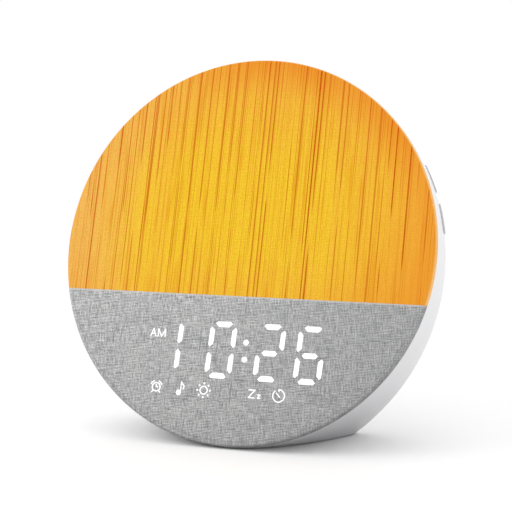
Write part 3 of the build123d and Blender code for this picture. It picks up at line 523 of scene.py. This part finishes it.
def plainWeave(finish, across, rise):
    # one thread over, one under
    turn = 2 * math.pi / cloth["weavePitch"] * math.sqrt(0.5)
    return finish.math("SINE", (across + rise) * turn) * finish.math("SINE", (across - rise) * turn)


def crossings(finish, across, rise, seed):
    # every crossing of two threads has a shade of its own, between -0.5 and 0.5
    pitch = cloth["crossingPitch"]
    place = finish.vector(across / pitch, rise / pitch, seed)
    place = finish.add("ShaderNodeVectorMath", {"operation": "FLOOR"}, {0: place})
    return finish.add("ShaderNodeTexWhiteNoise", values={"Vector": place}) - 0.5


# distances in millimetres
wood = dict(
    middle=paint("#F2D036"),
    top=paint("#EFB248"),
    # the paler colour of the left side, also used for the painted sheen on the left rim
    left=paint("#EDBA68"),
    right=paint("#EEAA42"),
    edge=paint("#E8842C"),
    # rim: a painted highlight, the paler colour where the lamps' light catches the rolled edge
    rim=paint("#F8C888"),
    shade=paint("#DC8C16"),
    line=paint("#AA1E00"),
    outerLine=paint("#BC1200"),
    # broad changes of colour: which way, from where, up to where, strength, colour
    zones=(
        ("up", 25.0, 92.0, 0.9, "top"),
        ("left", 35.0, 92.0, 0.8, "left"),
        ("right", 25.0, 92.0, 0.85, "right"),
        ("down", -5.0, 40.0, 0.6, "top"),
        ("downRight", 40.0, 110.0, 0.5, "edge"),
    ),
    warmRim=((66.0, 86.0), (-30.0, 60.0), (-45.0, 5.0), 0.75),  # in radius, rise and across, strength
    paleRimSheen=((50.0, 86.0), (-60.0, -10.0), 0.5),  # painted sheen: the rim paler on the left, where light from the left catches the cloth; in radius and across, strength
    # painted highlight on the rolled edge, between these radii
    turnedRimHighlight=(84.2, 85.2),
    # soft streaks: changes per millimetre across and along, seed, from, up to, strength, colour
    streaks=(
        (0.09, 0.008, 3.0, 0.48, 0.7, 0.3, "top"),
        (1.1, 0.03, 5.0, 0.45, 0.75, 0.3, "shade"),
        (0.5, 0.022, 8.0, 0.55, 0.75, 0.55, "shade"),
    ),
    # thin lines: pitch, half width, least and greatest strength, and between which values
    # of the fading a line grows to its full strength
    lines=(
        (7.5, 0.4, 0.6, 1.0, 0.36, 0.52),
        (3.1, 0.27, 0.3, 1.0, 0.38, 0.56),
        (1.4, 0.22, 0.2, 0.9, 0.36, 0.62),
    ),
    seedStep=7.3,
    topGrowth=(10.0, 70.0, 0.12),  # from, up to, and how much is added to the fading near the top
    outerLines=(35.0, 92.0, 0.6),  # from, up to, strength: lines redden outwards and upwards
    upperLines=(10.0, 70.0, 0.4),
    fadeAlong=0.02,  # changes of a line's strength per millimetre of its length
    wobble=0.6,
    wobblePerMm=(0.05, 0.012),
    lineWidths=(0.5, 0.8),  # share of the half width that every line has, and that a strong line adds
    lineSoftness=0.6,
    weaveShare=1.3,
    crossingShare=1.8,
    weaveRange=(-1.4, 1.4),
    weaveStrength=0.55,
    relief=(0.35, 0.05 * mm),
    printShare=0.35,  # share of the colour that comes from light on the cloth
    glow=0.71,  # strength of the light that comes through it
)


def grainLines(finish, across, rise, growth, seed, pitch, halfWidth, least, greatest, low, high):
    # thin upright lines at uneven distances, each with a strength and a fading of its own
    cells = {"voronoi_dimensions": "1D", "feature": "F1"}
    perAcross, perAlong = wood["wobblePerMm"]
    wobble = finish.noise(finish.vector(across * perAcross, rise * perAlong, seed), 1.0, 1)
    place = (across + wobble * wood["wobble"]) / pitch + seed
    line = finish.add("ShaderNodeTexVoronoi", cells, {"W": place, "Scale": 1.0})
    own = finish.axes(line.beside("Color"))
    fading = finish.noise(finish.vector(own[0] * 90.0, rise * wood["fadeAlong"], seed), 1.0, 2)
    amount = (fading + growth).step(low, high) * (own[1] * own[1] * (greatest - least) + least)
    ownWidth, addedWidth = wood["lineWidths"]
    width = (amount * addedWidth + ownWidth) * (halfWidth / pitch)
    return ((width - line) / width).step(0.0, wood["lineSoftness"]) * amount


def woodCloth():
    glow = wood["glow"]
    finish = Finish("woodGrainCloth", Roughness=0.85, Specular_IOR_Level=0.02, Emission_Strength=glow)
    across, rise, radius = clothAxes(finish)
    towards = {
        "up": rise,
        "down": rise * -1.0,
        "left": across * -1.0,
        "right": across,
        "downRight": across - rise,
    }
    colour = wood["middle"]
    for way, low, high, strength, tint in wood["zones"]:
        colour = finish.mix(towards[way].zone(low, high, strength), colour, wood[tint])
    byRadius, byRise, byAcross, strength = wood["warmRim"]
    warm = radius.step(*byRadius) * rise.step(*byRise) * across.step(*byAcross)
    colour = finish.mix(warm * strength, colour, wood["edge"])
    # painted sheen: the rim made paler on its left part
    byRadius, byAcross, strength = wood["paleRimSheen"]
    pale = radius.step(*byRadius) * across.step(*byAcross, strength, 0.0)
    colour = finish.mix(pale, colour, wood["left"])
    for perAcross, perAlong, seed, low, high, strength, tint in wood["streaks"]:
        streak = finish.noise(finish.vector(across * perAcross, rise * perAlong, seed), 1.0, 2)
        colour = finish.mix(streak.zone(low, high, strength), colour, wood[tint])
    outwards = radius.zone(*wood["outerLines"]) + rise.zone(*wood["upperLines"])
    lineColour = finish.mix(outwards, wood["line"], wood["outerLine"])
    growth = rise.zone(*wood["topGrowth"])
    for number, layer in enumerate(wood["lines"]):
        lines = grainLines(finish, across, rise, growth, number * wood["seedStep"], *layer)
        colour = finish.mix(lines, colour, lineColour)
    # painted highlight: the rolled edge over the rim made paler
    colour = finish.mix(radius.step(*wood["turnedRimHighlight"]), colour, wood["rim"])
    weave = plainWeave(finish, across, rise)
    own = crossings(finish, across, rise, 2.0)
    shade = (weave * wood["weaveShare"] + own * wood["crossingShare"]).step(*wood["weaveRange"])
    colour = finish.mix(shade * wood["weaveStrength"], colour, wood["shade"])
    finish.feed("Base Color", finish.mix(wood["printShare"], (0, 0, 0, 1), colour))
    finish.feed("Emission Color", colour)
    finish.bump(weave, *wood["relief"])
    return finish.material


# distances in millimetres
linen = dict(
    dark=paint("#808183"),
    middle=paint("#AEAEAE"),
    light=paint("#D9D9D8"),
    threads=(0.36, 5.0, 2.0),  # pitch, length, seed
    thickThreads=(0.8, 12.0, 11.0),
    shares=(1.2, 0.1, 0.35, 0.45),  # of threads, thick threads, crossings and weave in the tone
    darkTones=(-0.42, 0.08),
    lightTones=(-0.02, 0.42),
    creaseRadius=82.9,  # where the cloth starts to roll over the rim; a painted shade darkens this crease
    creaseHalfWidth=0.5,
    creaseShadeStrength=0.4,
    paintedShadeRight=(-30.0, 80.0, 0.35),  # painted shade: the cloth darker towards its right end, where the light from the left falls off; from, up to, and how much darker
    seamLight=(-0.9, -0.2, 0.5),  # from, up to, strength: the turned edge at the seam
    relief=(0.5, 0.08 * mm),
)


def linenCloth():
    finish = Finish("greyLinen", Roughness=0.85, Specular_IOR_Level=0.1, Sheen_Weight=0.04)
    across, rise, radius = clothAxes(finish)

    def threads(pitch, length, seed):
        level = finish.noise(finish.vector(across / length, rise / pitch, seed), 1.0, 1)
        upright = finish.noise(finish.vector(across / pitch, rise / length, seed + 4.0), 1.0, 1)
        return level + upright - 1.0

    fineShare, thickShare, crossingShare, weaveShare = linen["shares"]
    tone = threads(*linen["threads"]) * fineShare + threads(*linen["thickThreads"]) * thickShare
    tone = tone + crossings(finish, across, rise, 9.0) * crossingShare
    tone = tone + plainWeave(finish, across, rise) * weaveShare
    colour = finish.mix(tone.step(*linen["darkTones"]), linen["dark"], linen["middle"])
    colour = finish.mix(tone.step(*linen["lightTones"]), colour, linen["light"])
    # painted shade: a darker line in the crease where the cloth starts to roll over the rim
    fromCrease = finish.math("ABSOLUTE", radius - linen["creaseRadius"]) / linen["creaseHalfWidth"]
    creaseShade = fromCrease.step(0.0, 1.0, linen["creaseShadeStrength"], 0.0)
    colour = finish.mix(creaseShade, colour, linen["dark"])
    # painted shade: the cloth made darker towards its right end
    colour = finish.mix(across.zone(*linen["paintedShadeRight"]), colour, linen["dark"])
    low, high, strength = linen["seamLight"]
    seam = clock["splitRise"] / mm
    colour = finish.mix(rise.zone(seam + low, seam + high, strength), colour, linen["light"])
    finish.feed("Base Color", colour)
    finish.bump(tone, *linen["relief"])
    return finish.material


stretchedCloth("upperCloth", True, woodCloth(), ["upper_cloth"])
stretchedCloth("lowerCloth", False, linenCloth(), ["lower_cloth"])

# thick places in single linen threads, lying on the weave
slubs = dict(
    reach=80.0 * mm,  # threads start inside this radius
    splitGap=6.5 * mm,  # and this far below the seam
    swaysPerMetre=180.0,
    tip=0.1,  # thickness of the ends, as a share of the middle's
    skew=0.04,
    dark=paint("#8E8F90"),
    light=paint("#C9C9C8"),
    middle=paint("#A6A6A6"),
    tonePerMm=0.11,
    twistPerMm=1.3,
    relief=(0.5, 0.03 * mm),
    sizes=dict(
        apart=2.6 * mm,
        perSquareMetre=9.0e4,
        shortest=3.0 * mm,
        longest=11.0 * mm,
        thinnest=0.24 * mm,
        thickest=0.42 * mm,
        height=0.14 * mm,
        sway=0.3 * mm,
        seed=41,
    ),
)


def slubFinish():
    finish = Finish("slubYarn", Roughness=0.85, Specular_IOR_Level=0.1)
    where = finish.place()
    tone = finish.noise(where, slubs["tonePerMm"], 1)
    twist = finish.noise(where, slubs["twistPerMm"], 1)
    colour = finish.mix(tone.step(0.35, 0.6), slubs["dark"], slubs["light"])
    finish.feed("Base Color", finish.mix(twist * 0.5, colour, slubs["middle"]))
    finish.bump(twist, *slubs["relief"])
    return finish.material


def linenSlubs():
    start = bmesh.new()
    rim = [math.pi * 2 * turn / 96 for turn in range(96)]
    reach = slubs["reach"]
    start.faces.new([start.verts.new((reach * math.cos(t), reach * math.sin(t), 0)) for t in rim])
    bmesh.ops.bisect_plane(
        start,
        geom=start.verts[:] + start.edges[:] + start.faces[:],
        plane_co=(0, clock["splitRise"] - slubs["splitGap"], 0),
        plane_no=(0, 1, 0),
        clear_outer=True,
    )
    recipe = Recipe("linenSlubs", {**slubs["sizes"], "finish": slubFinish()})
    points = recipe.add(
        "GeometryNodeDistributePointsOnFaces",
        {"distribute_method": "POISSON"},
        {
            "Mesh": recipe.size("start"),
            "Distance Min": recipe.size("apart"),
            "Density Max": recipe.size("perSquareMetre"),
            "Seed": recipe.size("seed"),
        },
    )
    # one thread, a metre long and a metre thick until it is scaled
    ends = {"Start": (-0.5, 0, 0), "End": (0.5, 0, 0)}
    line = recipe.add("GeometryNodeCurvePrimitiveLine", values=ends)
    line = recipe.add("GeometryNodeResampleCurve", values={"Curve": line, "Count": 6})
    along = recipe.add("GeometryNodeSplineParameter")
    belly = recipe.math("SINE", along * math.pi) * (1 - slubs["tip"]) + slubs["tip"]
    line = recipe.add("GeometryNodeSetCurveRadius", values={"Curve": line, "Radius": belly})
    section = recipe.add("GeometryNodeCurvePrimitiveCircle", values={"Resolution": 5, "Radius": 0.5})
    values = {"Curve": line, "Profile Curve": section, "Fill Caps": True}
    thread = recipe.add("GeometryNodeCurveToMesh", values=values)
    thread = recipe.add("GeometryNodeSetShadeSmooth", values={0: thread})
    crosswise = recipe.math("ROUND", recipe.spread(0.0, 1.0, 1)) * (math.pi / 2)
    turn = recipe.vector(0.0, 0.0, crosswise + recipe.spread(-slubs["skew"], slubs["skew"], 2))
    length = recipe.spread(recipe.size("shortest"), recipe.size("longest"), 3)
    width = recipe.spread(recipe.size("thinnest"), recipe.size("thickest"), 4)
    values = {
        "Points": points,
        "Instance": thread,
        "Rotation": turn,
        "Scale": recipe.vector(length, width, recipe.size("height")),
    }
    laid = recipe.add("GeometryNodeInstanceOnPoints", values=values)
    laid = recipe.add("GeometryNodeRealizeInstances", values={0: laid})
    where = recipe.add("GeometryNodeInputPosition")
    drift = recipe.noise(where, slubs["swaysPerMetre"], 1.0) - 0.5
    shift = recipe.vector(drift * recipe.size("sway"), drift * recipe.size("sway"), 0.0)
    laid = recipe.add("GeometryNodeSetPosition", values={"Geometry": laid, "Offset": shift})
    threads = recipe.grow(start, laid)
    for vertex in threads.verts:
        across, rise, proud = vertex.co
        vertex.co = onFace(across, rise, -proud)
    bmesh.ops.recalc_face_normals(threads, faces=threads.faces[:])
    print("linen slubs:", len(threads.faces), "faces")
    newPiece("linenSlubs", threads, "clock", recipe.sizes["finish"])


linenSlubs()

# bars and icons that shine through the grey cloth
marks = dict(
    proud=0.1 * mm,  # in front of the face
    thick=0.08 * mm,
    roundness=0.16 * mm,
    glow=1.0,
    dim=paint("#F4F6FA"),
    bright=paint("#FFFFFF"),
    dotsPerMm=1.1,
    # marks that stay dark: middle across and up, and reach, in millimetres
    dark={
        "middle bar of the 0": (-5.3, -44.3, 3.0),
        "upper left bar of the 2": (11.9, -38.8, 2.5),
        "lower right bar of the 2": (21.8, -49.8, 2.5),
        "upper right bar of the 6": (40.1, -38.8, 2.5),
        "second pair of letters": (-35.5, -50.0, 6.0),
    },
)


def litGlow():
    finish = Finish("litMarks", Roughness=0.6, Emission_Strength=marks["glow"])
    dots = finish.noise(finish.place(), marks["dotsPerMm"], 1)
    finish.feed("Base Color", finish.mix(dots, paint("#7C7C7C"), paint("#868686")))
    finish.feed("Emission Color", finish.mix(dots.step(0.3, 0.7), marks["dim"], marks["bright"]))
    return finish.material


def isDark(across, rise):
    return any(math.dist((across, rise), (x, y)) < reach for x, y, reach in marks["dark"].values())


def litMarks(name, node, finish):
    # the front faces of the light guides, moved out onto the cloth
    shape = mergedCopy(node, 0.001 * mm)
    frontDepth = min(faceMillimetres(v.co)[2] for v in shape.verts)

    def isFront(face):
        depth = faceMillimetres(face.calc_center_median())[2]
        return face.normal.dot(forward) > 0.99 and depth < frontDepth + 0.02

    bmesh.ops.delete(shape, geom=[f for f in shape.faces if not isFront(f)], context="FACES")
    bmesh.ops.dissolve_limit(shape, angle_limit=0.02, verts=shape.verts[:], edges=shape.edges[:])
    dark = [f for f in shape.faces if isDark(*faceMillimetres(f.calc_center_bounds())[:2])]
    bmesh.ops.delete(shape, geom=dark, context="FACES")
    for vertex in shape.verts:
        depth = faceMillimetres(vertex.co)[2] * mm
        vertex.co += (depth + marks["proud"]) * forward
    corners = [v for v in shape.verts if len(v.link_edges) == 2 and v.calc_edge_angle(0) > 0.5]
    bmesh.ops.bevel(
        shape, geom=corners, offset=marks["roundness"], segments=3, profile=0.5, affect="VERTICES"
    )
    top = shape.faces[:]
    grown = bmesh.ops.extrude_face_region(shape, geom=top)["geom"]
    for vertex in (item for item in grown if isinstance(item, bmesh.types.BMVert)):
        vertex.co += marks["thick"] * backward
    bmesh.ops.recalc_face_normals(shape, faces=shape.faces[:])
    newPiece(name, shape, "clock", finish)


glow = litGlow()
litMarks("litDigits", "display_segments", glow)
litMarks("litIcons", "display_icons", glow)
print("lit marks")

# the white shell, smooth over its curves and sharp at its edges
shell = dict(sharp=math.radians(24), weld=0.002 * mm)


def smoothCopy(name, node, slot):
    shape = mergedCopy(node, shell["weld"])
    for face in shape.faces:
        face.smooth = True
    piece = newPiece(name, shape, bodyOf[node], finishes[slot], [node])
    piece.data.set_sharp_from_angle(angle=shell["sharp"])


smoothCopy("shellSkin", "rear_shell", "shell_white")
print("shell")

# the soft pad underneath, with round studs for grip
studs = dict(
    weld=0.002 * mm,
    corners=10,
    taper=0.8,  # width of a stud's foot, as a share of its root's
    rooted=1.25,  # length of a stud, in heights: the rest is inside the pad
    rowRatio=0.866,  # distance of the rows, in pitches
    lookFrom=0.01,  # how far below a stud's root the look upwards to the pad starts, in metres
    sizes=dict(pitch=2.6 * mm, radius=0.85 * mm, height=0.4 * mm, margin=1.3 * mm, reach=0.12),
)


def gripPad():
    start = mergedCopy("base_pad", studs["weld"])
    bmesh.ops.dissolve_limit(start, angle_limit=0.01, verts=start.verts[:], edges=start.edges[:])
    for vertex in start.verts:
        vertex.co.z = max(vertex.co.z, studs["sizes"]["height"])
    recipe = Recipe("gripPad", {**studs["sizes"], "finish": finishes["pad_black"]})
    pitch, radius, height = (recipe.size(label) for label in ("pitch", "radius", "height"))
    rows = recipe.size("reach") / pitch
    values = {
        "Size X": rows * pitch,
        "Size Y": rows * pitch * studs["rowRatio"],
        "Vertices X": rows + 1.0,
        "Vertices Y": rows + 1.0,
    }
    grid = recipe.add("GeometryNodeMeshGrid", values=values)
    # every second row is shifted by half a pitch
    along = recipe.axes(recipe.add("GeometryNodeInputPosition"))[1]
    row = recipe.math("ROUND", along / (pitch * studs["rowRatio"]))
    shift = recipe.math("FLOORED_MODULO", row, 2.0) * pitch * 0.5
    values = {"Geometry": grid, "Offset": recipe.vector(shift, 0.0, height)}
    grid = recipe.add("GeometryNodeSetPosition", values=values)
    # only where the pad lies above, and clear of its edge
    across, along, up = recipe.axes(recipe.add("GeometryNodeInputPosition"))
    values = {
        "Target Geometry": recipe.size("start"),
        "Source Position": recipe.vector(across, along, up - studs["lookFrom"]),
        "Ray Direction": (0, 0, 1),
        "Ray Length": studs["lookFrom"] + 1 * mm,
    }
    hit = recipe.add("GeometryNodeRaycast", values=values)
    toEdge = {"target_element": "EDGES"}
    edges = recipe.add("GeometryNodeProximity", toEdge, {0: recipe.size("start")}, output=1)
    onPad = hit * recipe.math("GREATER_THAN", edges, recipe.size("margin"))
    gone = recipe.math("LESS_THAN", onPad, 0.5)
    grid = recipe.add("GeometryNodeDeleteGeometry", values={"Geometry": grid, "Selection": gone})
    values = {
        "Vertices": studs["corners"],
        "Radius Top": radius,
        "Radius Bottom": radius * studs["taper"],
        "Depth": height * studs["rooted"],
    }
    stud = recipe.add("GeometryNodeMeshCone", values=values)
    placed = recipe.add("GeometryNodeInstanceOnPoints", values={"Points": grid, "Instance": stud})
    drop = recipe.vector(0.0, 0.0, height * -1.0)
    placed = recipe.add("GeometryNodeTranslateInstances", values={0: placed, "Translation": drop})
    whole = recipe.add("GeometryNodeJoinGeometry")
    for part in (recipe.size("start"), placed):
        recipe.tree.links.new(part.socket, whole.socket.node.inputs[0])
    pad = recipe.grow(start, whole)
    print("grip pad:", len(pad.faces), "faces")
    newPiece("gripPad", pad, "clock", recipe.sizes["finish"], ["base_pad"])


gripPad()

for part in frame["record"]["subparts"]:
    slot = part["material_slot"]
    if slot in finishes:
        materials = nodes[part["node"]].data.materials
        materials.clear()
        materials.append(finishes[slot])
print("node finishes")

studio = dict(
    floorHalf=3.0,
    floorColour=paint("#FDFDFD"),
    # the light that the floor gives back, in the object's own shade and beyond it
    shadeBounce=paint("#A0A0A0"),
    openBounce=paint("#ECECEC"),
    bounceRange=(0.06, 0.17),
    whiteRange=(0.07, 0.2),  # the floor turns into plain white between these distances
    skyLevel=1.0,
    lamps={
        # place, side length, power
        "topLamp": ((0.0, 0.0, 1.0), 1.0, 0.5),
        "sideLamp": ((-0.4, -0.34, 0.36), 0.4, 0.8),
    },
    cameraPlace=(0.225648, -0.569273, 0.1417),
    cameraTurn=21.1,  # degrees to the left of the clock's own axis
    cameraTilt=5.77,  # degrees downwards
    lens=100.32,
)


def floorFinish():
    # lit paint that keeps the shadow, and turns into plain white further out
    finish = Finish("floorWhite")
    across, along, _ = finish.axes(finish.add("ShaderNodeTexCoord", output=3))
    distance = (across * across + along * along) ** 0.5
    away = distance.step(*studio["whiteRange"])
    beyond = distance.step(*studio["bounceRange"])
    bounce = finish.mix(beyond, studio["shadeBounce"], studio["openBounce"])
    path = finish.add("ShaderNodeLightPath")
    seen = finish.math("MAXIMUM", path, path.beside("Is Glossy Ray"))
    colour = finish.mix(seen, bounce, studio["floorColour"])
    diffuse = finish.add("ShaderNodeBsdfDiffuse", values={"Color": colour})
    white = finish.add("ShaderNodeEmission", values={"Strength": 1.0})
    both = finish.add("ShaderNodeMixShader", values={0: away * seen, 1: diffuse, 2: white})
    finish.tree.links.new(both.socket, finish.output.inputs["Surface"])
    return finish.material


def makeFloor():
    shape = bmesh.new()
    half = studio["floorHalf"]
    corners = [shape.verts.new((x * half, y * half, 0)) for x, y in ((-1, -1), (1, -1), (1, 1), (-1, 1))]
    shape.faces.new(corners)
    mesh = bpy.data.meshes.new("floor")
    shape.to_mesh(mesh)
    shape.free()
    mesh.materials.append(floorFinish())
    floor = bpy.data.objects.new("floor", mesh)
    bpy.context.scene.collection.objects.link(floor)


def makeSky():
    world = bpy.data.worlds.new("studioWhite")
    bpy.context.scene.world = world
    world.use_nodes = True
    sky = world.node_tree.nodes["Background"]
    sky.inputs["Color"].default_value = (1, 1, 1, 1)
    sky.inputs["Strength"].default_value = studio["skyLevel"]


def softLamp(name, place, size, power):
    lamp = bpy.data.lights.new(name, "AREA")
    lamp.size = size
    lamp.energy = power
    holder = bpy.data.objects.new(name, lamp)
    holder.location = place
    holder.rotation_euler = (faceCentre - Vector(place)).to_track_quat("-Z", "Y").to_euler()
    bpy.context.scene.collection.objects.link(holder)


def makeCamera():
    camera = bpy.data.cameras.new("camera")
    camera.lens = studio["lens"]
    camera.sensor_width = 36
    holder = bpy.data.objects.new("camera", camera)
    holder.location = studio["cameraPlace"]
    tilt = math.radians(90 - studio["cameraTilt"])
    holder.rotation_euler = (tilt, 0, math.radians(studio["cameraTurn"]))
    bpy.context.scene.collection.objects.link(holder)
    bpy.context.scene.camera = holder


makeFloor()
makeSky()
for name, (place, size, power) in studio["lamps"].items():
    softLamp(name, place, size, power)
makeCamera()
bpy.context.scene.view_settings.view_transform = "Standard"
print("studio")
